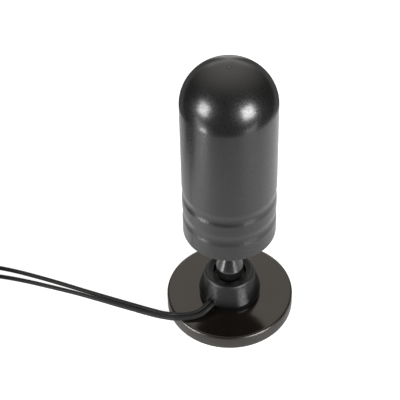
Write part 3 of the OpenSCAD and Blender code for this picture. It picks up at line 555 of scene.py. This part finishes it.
# Leads: two thin coaxial leads with a smooth black jacket. Each leaves the cup's hole, lies over the foot's
# rim and on the table, and the rest of its length is wound into a small tied coil with its plug beside it.
lead_d = 2.8 * mm
lead_gap = 0.55 * mm
lead_step = 1.2 * mm
coil_loops = 4
coil_layers = 4
coil_steps = 22
coil_mid_r = 16.8 * mm
coil_pitch = lead_d + lead_gap
coil_out_r = coil_mid_r + coil_loops * coil_pitch / 2
lead_routes = [mm * np.array(route) for route in ([
    [-13, -14.6, 15.4], [-14.8, -17, 15.3], [-16.8, -18.9, 14.4], [-19.2, -20.1, 12.9],
    [-22.4, -21, 12], [-26, -21.6, 11.6], [-29.6, -22, 11.5], [-32.8, -22, 11.5],
    [-36, -20.8, 10.4], [-39, -18.7, 8.2], [-43.6, -15.2, 5], [-49, -11.5, 2.6],
    [-54, -9, 1.7], [-59.5, -6.8, 1.5], [-65.5, -4.6, 1.5], [-73, -1.8, 1.5],
    [-81.5, 1.4, 1.5], [-90.5, 4.8, 1.5], [-97.5, 7.5, 1.5], [-104, 10.1, 1.5],
    [-111.5, 13, 1.5], [-119, 15.8, 1.5], [-126.5, 18.5, 1.5], [-134, 21.1, 1.5],
    [-141.5, 23.5, 1.5], [-149, 25.6, 1.5], [-156.5, 27.3, 1.6], [-164, 28.6, 1.9],
    [-171, 29.3, 2.4], [-177, 29.5, 2.6], [-181.2, 29.5, 2.6],
], [
    [-10.5, -16.5, 15.4], [-12.3, -18.9, 15.3], [-14.9, -21.4, 14.4], [-18, -23.1, 12.9],
    [-21.8, -24.1, 12], [-25.6, -24.7, 11.6], [-29.2, -25.1, 11.5], [-32.8, -25.2, 11.3],
    [-36.8, -24, 10.2], [-40.4, -21.7, 8.2], [-45.4, -18, 5], [-50.8, -14.4, 2.6],
    [-55.4, -12.1, 1.7], [-60.6, -10, 1.5], [-66.6, -7.8, 1.5], [-74, -5.1, 1.5],
    [-83, -1.7, 1.5], [-92, 1.6, 1.5], [-98.7, 4, 1.5], [-105.5, 6.2, 1.5],
    [-113, 8.6, 1.5], [-120.5, 10.9, 1.5], [-128, 13.2, 1.5], [-135.5, 15.3, 1.5],
    [-143, 17.2, 1.5], [-150.5, 18.8, 1.5], [-158, 20, 1.6], [-164.5, 20.7, 1.9],
    [-169.5, 21, 2.4], [-174, 21, 2.6], [-177.2, 21, 2.6],
])]
plug_z = (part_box("coupling_nut_1")[0].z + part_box("coupling_nut_1")[1].z) / 2 / mm
tail_routes = [mm * np.array(route) for route in ([
    [-194, 29.6, 12.4], [-201, 30.2, 11], [-207.5, 32, 9.2],
    [-213, 35.5, 7.3], [-217, 41, 5.7], [-219, 48, plug_z], [-219, 55, plug_z],
], [
    [-190, 20.9, 12.4], [-197, 20.3, 11], [-203.5, 18.5, 9.2],
    [-209, 15, 7.3], [-213, 9.5, 5.7], [-215, 2.5, plug_z], [-215, -4.5, plug_z],
])]
coil_sides = (1, -1)


def coil_turns(foot, side):
    """Points of a coil from its foot: the radius goes in and out again, a pitch for each turn, and the height
    climbs a layer in the half turn round each reversal."""
    t = np.arange(coil_layers * coil_loops * coil_steps + 1) / coil_steps
    inward = coil_loops - np.abs(t % (2 * coil_loops) - coil_loops)
    layers = sum(np.clip(2 * (t - k * coil_loops) + 0.5, 0, 1) for k in range(1, coil_layers))
    a = -side * np.radians(90 + 360 * t)
    r = coil_out_r - coil_pitch * inward
    centre = foot + [0, side * coil_out_r, 0]
    return centre + np.stack([r * np.cos(a), r * np.sin(a), coil_pitch * layers], axis=1)


def smooth_line(points, step):
    """One curve through the points: the natural cubic spline over their chord length, sampled every step."""
    gap = np.linalg.norm(np.diff(points, axis=0), axis=1)
    at = np.concatenate([[0], np.cumsum(gap)])
    inner = np.arange(1, len(points) - 1)
    system = np.eye(len(points))
    system[inner, inner - 1] = gap[:-1]
    system[inner, inner] = 2 * (gap[:-1] + gap[1:])
    system[inner, inner + 1] = gap[1:]
    slope = np.diff(points, axis=0) / gap[:, None]
    bend = np.zeros_like(points)
    bend[1:-1] = 6 * np.diff(slope, axis=0)
    bend = np.linalg.solve(system, bend)
    s = np.linspace(0, at[-1], int(at[-1] / step) + 1)
    k = np.clip(np.searchsorted(at, s, side="right") - 1, 0, len(gap) - 1)
    u = ((s - at[k]) / gap[k])[:, None]
    h = gap[k][:, None] ** 2 / 6
    return (
        (1 - u) * points[k] + u * points[k + 1]
        + h * (((1 - u) ** 3 - (1 - u)) * bend[k] + (u ** 3 - u) * bend[k + 1])
    )


def tube(path, radius, sides=16):
    """Grid of a round tube: a circle square to the path at each of its points, starting at the top."""
    ahead = np.gradient(path, axis=0)
    ahead /= np.linalg.norm(ahead, axis=1)[:, None]
    across = np.cross(ahead, [0, 0, 1])
    across /= np.linalg.norm(across, axis=1)[:, None]
    up = np.cross(across, ahead)
    a = np.arange(sides)[:, None] * 2 * np.pi / sides
    ring = np.cos(a)[None] * up[:, None] + np.sin(a)[None] * across[:, None]
    wall = path[:, None] + radius * ring
    ends = np.repeat(path[[0, -1], None], sides, axis=1)
    return np.concatenate([ends[:1], wall, ends[1:]])


jacket, shader, place = finish(
    "lead_jacket", {"IOR": 1.34, "Sheen Weight": 0.035, "Sheen Roughness": 0.35}
)
smear = place.noise(12 * mm, 3)
place.feed(shader, {
    "Base Color": smear.tint((0.0015, 0.0015, 0.0015), (0.003, 0.003, 0.003)),
    "Roughness": 0.56 + smear * 0.1,
    "Normal": place.noise(0.8 * mm).raised(0.012 * mm),
})
dress(jacket, "cup_leads", "inner_leads")
lead_paths, leads = [], []
for i, (route, tail, coil_side) in enumerate(zip(lead_routes, tail_routes, coil_sides), start=1):
    coil_foot = route[-1] - [lead_d, 0, 0]
    coil = coil_turns(coil_foot, coil_side)
    straight = coil[-1] - np.outer([1, 2], [lead_d, 0, 0])
    path = smooth_line(np.concatenate([route, coil, straight, tail]), lead_step)
    lead_paths.append(path)
    leads.append(solid(
        f"coaxial_lead_{i}", [(tube(path, lead_d / 2), (False, True))], jacket, "base", "lead_jacket",
        [f"lead_{i}", f"coil_{i}", f"tail_{i}"],
    ))

# Coil ties: two hook-and-loop straps round each coil, woven black tape with a fuzzy face, closed by an end
# that overlaps on the outer side.
tie_t = 1 * mm
tie_w = 5 * mm
tie_play = 0.2 * mm
tie_round = 1.1 * mm
tie_angles = ((30, 210), (-30, 150))
flap_t = 0.7 * tie_t
flap_z = np.linspace(3 * mm, 11 * mm, 12)
tie_in_r = coil_out_r - coil_loops * coil_pitch - lead_d / 2 - tie_play - tie_t / 2
tie_out_r = coil_out_r + lead_d / 2 + tie_play + tie_t / 2
tie_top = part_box("coil_ties")[1].z - tie_t / 2


def strap(line, thickness, width):
    """Grid of a tape: at each point of a line in the plane (r, z), a flat section with soft edges, whose
    thickness lies in the plane and whose width is square to it."""
    ahead = np.gradient(line, axis=0)
    ahead /= np.linalg.norm(ahead, axis=1)[:, None]
    normal = np.stack([ahead[:, 1], -ahead[:, 0]], axis=1)
    a = np.radians(np.arange(0, 360, 15))
    thick = thickness / 2 * np.sign(np.sin(a)) * np.abs(np.sin(a)) ** 0.4
    wide = width / 2 * np.sign(np.cos(a)) * np.abs(np.cos(a)) ** 0.25
    plane = line[:, None] + normal[:, None] * thick[:, None]
    return np.stack([plane[..., 0], wide + 0 * plane[..., 0], plane[..., 1]], axis=2)


def box_line(low, high, radius, count=10):
    """A rectangle's outline in the plane (r, z) with round corners, as points in turn."""
    left, under = low[0] + radius, low[1] + radius
    right, over = high[0] - radius, high[1] - radius
    corners = ((right, under, -90), (right, over, 0), (left, over, 90), (left, under, 180))
    return np.concatenate([arc((x, z), radius, a, a + 90, count) for x, z, a in corners])


def closed_tape(line, thickness, width):
    """Grid of a tape round a closed line."""
    return strap(np.concatenate([line[-2:], line, line[:2]]), thickness, width)[2:-2]


tape, shader, place = finish(
    "hook_and_loop_tape", {"IOR": 1.45, "Specular IOR Level": 0.2, "Sheen Weight": 0.3}
)
fuzz = place.noise(0.35 * mm, 4, 0.7)
place.feed(shader, {
    "Base Color": fuzz.tint((0.008, 0.008, 0.009), (0.026, 0.026, 0.027)),
    "Roughness": 0.8 + fuzz * 0.15,
    "Normal": fuzz.raised(0.12 * mm),
})
loop = closed_tape(box_line((tie_in_r, tie_t / 2), (tie_out_r, tie_top), tie_round), tie_t, tie_w)
flap_line = np.stack([tie_out_r + 0.85 * tie_t + 0 * flap_z, flap_z], axis=1)
flap_line[[0, -1], 0] -= 0.2 * tie_t
flap = strap(flap_line, flap_t, tie_w)
flap_ends = np.repeat(flap[[0, -1]].mean(axis=1, keepdims=True), flap.shape[1], axis=1)
flap = np.concatenate([flap_ends[:1], flap, flap_ends[1:]])
for i, (route, coil_side, angles) in enumerate(zip(lead_routes, coil_sides, tie_angles), start=1):
    centre = (route[-1] - [lead_d, -coil_side * coil_out_r, 0]) * [1, 1, 0]
    grids = []
    for angle in np.radians(angles):
        grids.append((turned(loop, angle) + centre, (True, True)))
        grids.append((turned(flap, angle) + centre, (False, True)))
    solid(f"coil_straps_{i}", grids, tape, "base", "black_rubber", ["coil_ties"])

# Plugs: each lead ends in a heat-shrink boot, a knurled gold-plated body with a white insulator and a centre
# pin, and a hexagon coupling nut with an inner thread that spins on the body's neck.
boot_l = 12 * mm
body_l = 6 * mm
collar = boot_l + body_l
neck_l = 3 * mm
shell_at = collar + neck_l
shell_l = 2.6 * mm
nut_l = 8 * mm
nut_flat = 4 * mm
nut_bore = 3.2 * mm
chamfer_drop = 0.12 * mm
chamfer_slope = 1.6
corner_cut = 0.06 * mm
plug_neck_r = 2.45 * mm
shell_r = 2.9 * mm
shell_bore = 2.4 * mm
plug_body_r = 3.1 * mm
pin_r = 0.46 * mm
insulator_l = 2.2 * mm
pin_rear = 0.9 * mm
plug_edge = 0.2 * mm
plug_groove = 0.35 * mm
boot_rear_r = 1.8 * mm
boot_swell = 0.5 * mm
boot_taper_l = 4 * mm
boot_wrinkle = 0.04 * mm
wrinkle_l = 1.1 * mm
wrinkle_start = 3 * mm
knurl_teeth = 36
knurl_depth = 0.1 * mm
knurl_span = (boot_l + 0.5 * mm, boot_l + 3.8 * mm)
thread_pitch = 25.4 * mm / 36
thread_depth = 0.22 * mm
thread_play = 0.02 * mm
thread_runout = 0.4 * mm
play = 0.05 * mm
nut_at = collar + play
plug_ways = (1, -1)


def placed(grid, i):
    """A grid made along +Z, laid on the axis of plug i from the boot's rear."""
    way = plug_ways[i]
    laid = np.stack([grid[..., 0], way * grid[..., 2], -way * grid[..., 1]], axis=-1)
    return laid + tail_routes[i][-1]


def knurled(profile, count=288):
    """A turned profile whose radius waves round the axis, once for each tooth, in the knurl's span."""
    grid = revolve(profile, count)
    a = np.arange(count)[:, None] * 2 * np.pi / count
    z = grid[..., 2]
    inside = (z > knurl_span[0]) & (z < knurl_span[1])
    scale = 1 - inside * knurl_depth / plug_body_r * (0.5 + 0.5 * np.cos(knurl_teeth * a))
    return grid * np.stack([scale, scale, np.ones_like(scale)], axis=2)


def hex_nut(count=240):
    """The nut's skin: outside, the smaller of a hexagon's and a chamfer cone's radius; inside, a thread whose
    radius waves with the height less the pitch's share of the turn."""
    a = np.arange(count)[:, None] * 2 * np.pi / count
    flat = nut_flat / np.cos((a + np.pi / 6) % (np.pi / 3) - np.pi / 6)
    corner = nut_flat / math.cos(math.pi / 6)
    z_end = np.linspace(0, 0.5 * mm, 7)
    z = np.concatenate([z_end, np.linspace(0.7 * mm, nut_l - 0.7 * mm, 8), nut_l - z_end[::-1]])
    from_end = np.minimum(z, nut_l - z)
    outside = np.minimum(flat, nut_flat - chamfer_drop + from_end * chamfer_slope)
    outside = np.minimum(outside, corner - corner_cut)
    z_in = np.linspace(nut_l, neck_l, 60)
    cut = np.clip(np.minimum(nut_l - z_in, z_in - neck_l) / thread_runout, 0, 1)
    wave = 0.5 + 0.5 * np.cos(2 * np.pi * z_in / thread_pitch - a)
    inside = nut_bore + thread_play - thread_depth * cut * wave
    neck = 0 * a + plug_neck_r + play
    r = np.concatenate([outside, inside, neck, neck], axis=1)
    z = np.concatenate([z, z_in, [neck_l - 0.1 * mm, 0]])
    return np.stack([r * np.cos(a), r * np.sin(a), z + nut_at + 0 * a], axis=2)


gold, shader, place = finish("gold_plate", {"Metallic": 1.0})
brush = place.noise(0.9 * mm, 3)
place.feed(shader, {
    "Base Color": brush.tint((0.72, 0.47, 0.15), (0.86, 0.62, 0.26)),
    "Roughness": 0.2 + brush * 0.12,
    "Normal": place.noise(0.12 * mm).raised(0.004 * mm),
})
ptfe, shader, place = finish("white_insulator", {"IOR": 1.35})
cloud = place.noise(1 * mm, 2)
place.feed(shader, {
    "Base Color": cloud.tint((0.76, 0.76, 0.74), (0.84, 0.84, 0.82)),
    "Roughness": 0.45 + cloud * 0.1,
    "Normal": place.noise(0.2 * mm).raised(0.006 * mm),
})
boot_z = np.linspace(0, boot_l, 49)
shrink = boot_rear_r + boot_swell * np.clip(boot_z / boot_taper_l, 0, 1) ** 0.7
shrink = shrink + boot_wrinkle * np.sin(boot_z / wrinkle_l) * np.clip(boot_z / wrinkle_start, 0, 1)
boot_profile = np.concatenate([[(0, 0)], np.stack([shrink, boot_z], axis=1), [(0, boot_l)]])
plug_profile = [
    (0, boot_l), (plug_body_r - 0.3 * mm, boot_l), (plug_body_r, boot_l + 0.3 * mm),
    *[(plug_body_r, boot_l + z * mm) for z in (0.6, 0.9, 1.5, 2.1, 2.7, 3.3, 3.6)],
    (plug_body_r, boot_l + 3.9 * mm), (plug_body_r - plug_groove, boot_l + 4.2 * mm),
    (plug_body_r - plug_groove, boot_l + 4.6 * mm), (plug_body_r, boot_l + 4.9 * mm),
    (plug_body_r, collar - plug_edge), (plug_body_r - plug_edge, collar), (plug_neck_r, collar),
    (plug_neck_r, shell_at), (shell_r, shell_at), (shell_r, shell_at + shell_l - plug_edge),
    (shell_r - plug_edge, shell_at + shell_l), (shell_bore, shell_at + shell_l), (shell_bore, shell_at),
    (0, shell_at),
]
insulator_end = shell_at + insulator_l
insulator_profile = [
    (pin_r + play, shell_at), (shell_bore - play, shell_at),
    (shell_bore - play, insulator_end - 0.1 * mm), (shell_bore - 3 * play, insulator_end),
    (pin_r + 3 * play, insulator_end), (pin_r + play, insulator_end - 0.1 * mm),
]
pin_profile = [
    (0, shell_at - pin_rear), (pin_r, shell_at - pin_rear), (pin_r, shell_at + 4 * mm),
    (0.8 * pin_r, shell_at + 4.25 * mm), (0.45 * pin_r, shell_at + 4.42 * mm), (0, shell_at + 4.46 * mm),
]
for i, lead in enumerate(leads):
    number = i + 1
    boot = solid(
        f"boot_{number}", [(placed(revolve(boot_profile, 48), i), (True, False))], rubber, "base",
        "black_rubber", [f"plug_boot_{number}"],
    )
    body = solid(
        f"plug_{number}", [(placed(knurled(plug_profile), i), (True, False))], gold, "base",
        "gold_plate", [f"plug_body_{number}"],
    )
    insulator = solid(
        f"insulator_{number}", [(placed(revolve(insulator_profile, 64), i), (True, True))], ptfe, "base",
        "white_insulator", ["plug_insulators"],
    )
    pin = solid(
        f"centre_pin_{number}", [(placed(revolve(pin_profile, 40), i), (True, False))], gold, "base",
        "gold_plate", ["plug_pins"],
    )
    nut = solid(
        f"hex_nut_{number}", [(placed(hex_nut(), i), (True, True))], gold, f"nut_{number}",
        "gold_plate", [f"coupling_nut_{number}"], 25,
    )
    lead_paths[i][::2].tolist() + lead_paths[i][-1:].tolist()

# Table: a white acrylic sheet that mirrors the lamps a little, as a product table does. To the camera it is
# mostly plain white, and it keeps the object's soft shadow. In reflections it shows a painted pool of light
# round the object, a glow that grows whiter towards the pool's edge, with painted bright bands at its sides
# and a painted dark table beyond.
table_reach = (-1.6, -0.37, 1.6, 1.6)
table_glow = 1.6
table_seen_glow = 0.55
table_mirrored_glow = (0.02, 1.2, 0.4)
painted_pool_r = (0.225, 0.245)
painted_pool_x = 0.035
painted_band_x = (0.05, 0.13)
painted_left_band_y = (0.05, 0.0)
west, south, east, north = table_reach
mesh = bpy.data.meshes.new("table")
mesh.from_pydata([(west, south, 0), (east, south, 0), (east, north, 0), (west, north, 0)], [], [(0, 1, 2, 3)])
table = bpy.data.objects.new("table", mesh)
bpy.context.scene.collection.objects.link(table)
acrylic, shader, place = finish("white_acrylic", {"IOR": 1.6, "Roughness": 0.25})
camera_ray = place.node("ShaderNodeLightPath", out="Is Camera Ray")
glossy_ray = place.node("ShaderNodeLightPath", out="Is Glossy Ray")
clear_ray = place.node("ShaderNodeLightPath", out="Is Transmission Ray")
# Painted pool of light: beyond this distance the table shows dark in reflections.
reach = ((place.axis("X") - painted_pool_x) ** 2 + place.axis("Y") ** 2) ** 0.5
painted_pool = 1 - reach.step(*painted_pool_r) * (glossy_ray + clear_ray)
place.feed(shader, {"Base Color": painted_pool.tint((0.04, 0.04, 0.04), (0.9, 0.9, 0.9))})
# Painted bright bands at the left and right of the pool, seen only in reflections.
painted_right_band = place.axis("X").step(*painted_band_x)
painted_left_band = place.axis("X").step(-painted_band_x[0], -painted_band_x[1]) * place.axis("Y").step(*painted_left_band_y)
white = place.node("ShaderNodeEmission", {}, {"Strength": table_glow})
shown = Socket(acrylic.node_tree, shader.outputs["BSDF"])
glow_middle, glow_outward, glow_sides = table_mirrored_glow
# The painted glow that reflections see: brighter towards the pool's edge and in the side bands.
painted_mirrored_glow = glow_middle + reach * glow_outward + (painted_right_band + painted_left_band) * glow_sides
blend = camera_ray * table_seen_glow + (glossy_ray + clear_ray) * painted_pool * painted_mirrored_glow
mixed = place.node("ShaderNodeMixShader", {}, {0: blend, 1: shown, 2: white})
acrylic.node_tree.links.new(mixed.output, acrylic.node_tree.nodes["Material Output"].inputs["Surface"])
table.data.materials.append(acrylic)

# Light: two large softboxes in front, left and right, a small lit card low at the left, a white card behind,
# and a room with a warm white ceiling that is brightest behind the object. The camera sees the room as white.
lamps_aim = 0.1
ceiling_white = 1.5
ceiling_way = (0.55, 0.83)
ceiling_edge = 0.35
room_grey = 0.07


def softbox(name, azimuth, elevation, distance, size, radiance):
    """A white area lamp of this radiance that faces the object; azimuth counts from the camera's side."""
    lamp = bpy.data.lights.new(name, "AREA")
    lamp.shape = "RECTANGLE"
    lamp.size, lamp.size_y = size
    lamp.energy = radiance * math.pi * size[0] * size[1]
    made = bpy.data.objects.new(name, lamp)
    bpy.context.scene.collection.objects.link(made)
    a, e = math.radians(azimuth), math.radians(elevation)
    way = np.array([math.sin(a) * math.cos(e), -math.cos(a) * math.cos(e), math.sin(e)])
    made.location = way * distance + [0, 0, lamps_aim]
    made.rotation_euler = (math.pi / 2 - e, 0, a)
    made.visible_camera = False


softbox("softbox_left", azimuth=-62, elevation=16.7, distance=2.0, size=(0.84, 0.86), radiance=23.5)
softbox("softbox_right", azimuth=45.2, elevation=18.8, distance=2.0, size=(0.93, 0.91), radiance=28)
softbox("low_card", azimuth=-56, elevation=-17.2, distance=0.268, size=(0.07, 0.04), radiance=18)
softbox("back_card", azimuth=180, elevation=9, distance=0.465, size=(0.38, 0.34), radiance=1)
world = bpy.data.worlds.new("studio")
bpy.context.scene.world = world
world.use_nodes = True
room = world.node_tree.nodes["Background"]
sky = Socket(world.node_tree)
camera_ray = sky.node("ShaderNodeLightPath", out="Is Camera Ray")
glossy_ray = sky.node("ShaderNodeLightPath", out="Is Glossy Ray")
clear_ray = sky.node("ShaderNodeLightPath", out="Is Transmission Ray")
way = sky.node("ShaderNodeTexCoord", out="Generated")
toward_ceiling = way.axis("Y") * ceiling_way[0] + way.axis("Z") * ceiling_way[1]
lift = ((toward_ceiling - ceiling_edge) / (1 - ceiling_edge)).maths("MAXIMUM", 0) ** 1.6
sky.feed(room, {
    "Color": camera_ray.tint((1, 0.97, 0.92), (1, 1, 1)),
    "Strength": camera_ray + (1 - camera_ray) * room_grey + (glossy_ray + clear_ray) * lift * ceiling_white,
})

# Camera: a long lens that looks down at the antenna from the front, with its picture shifted so that the
# antenna stands to the right of the middle and the leads have room at the left.
camera_place = (0, -0.5789, 0.6925)
camera_down = 46.004
camera_turn = -0.211
camera = bpy.data.cameras.new("camera")
camera.lens = 124.58
camera.sensor_width = 36
camera.shift_x = -0.0734
camera.clip_start, camera.clip_end = 0.05, 20
viewpoint = bpy.data.objects.new("camera", camera)
bpy.context.scene.collection.objects.link(viewpoint)
viewpoint.location = camera_place
viewpoint.rotation_mode = "ZYX"
viewpoint.rotation_euler = (math.radians(90 - camera_down), 0, math.radians(camera_turn))
bpy.context.scene.camera = viewpoint
bpy.context.scene.view_settings.view_transform = "Standard"

# Last, the view layer is brought up to date.
bpy.context.view_layer.update()
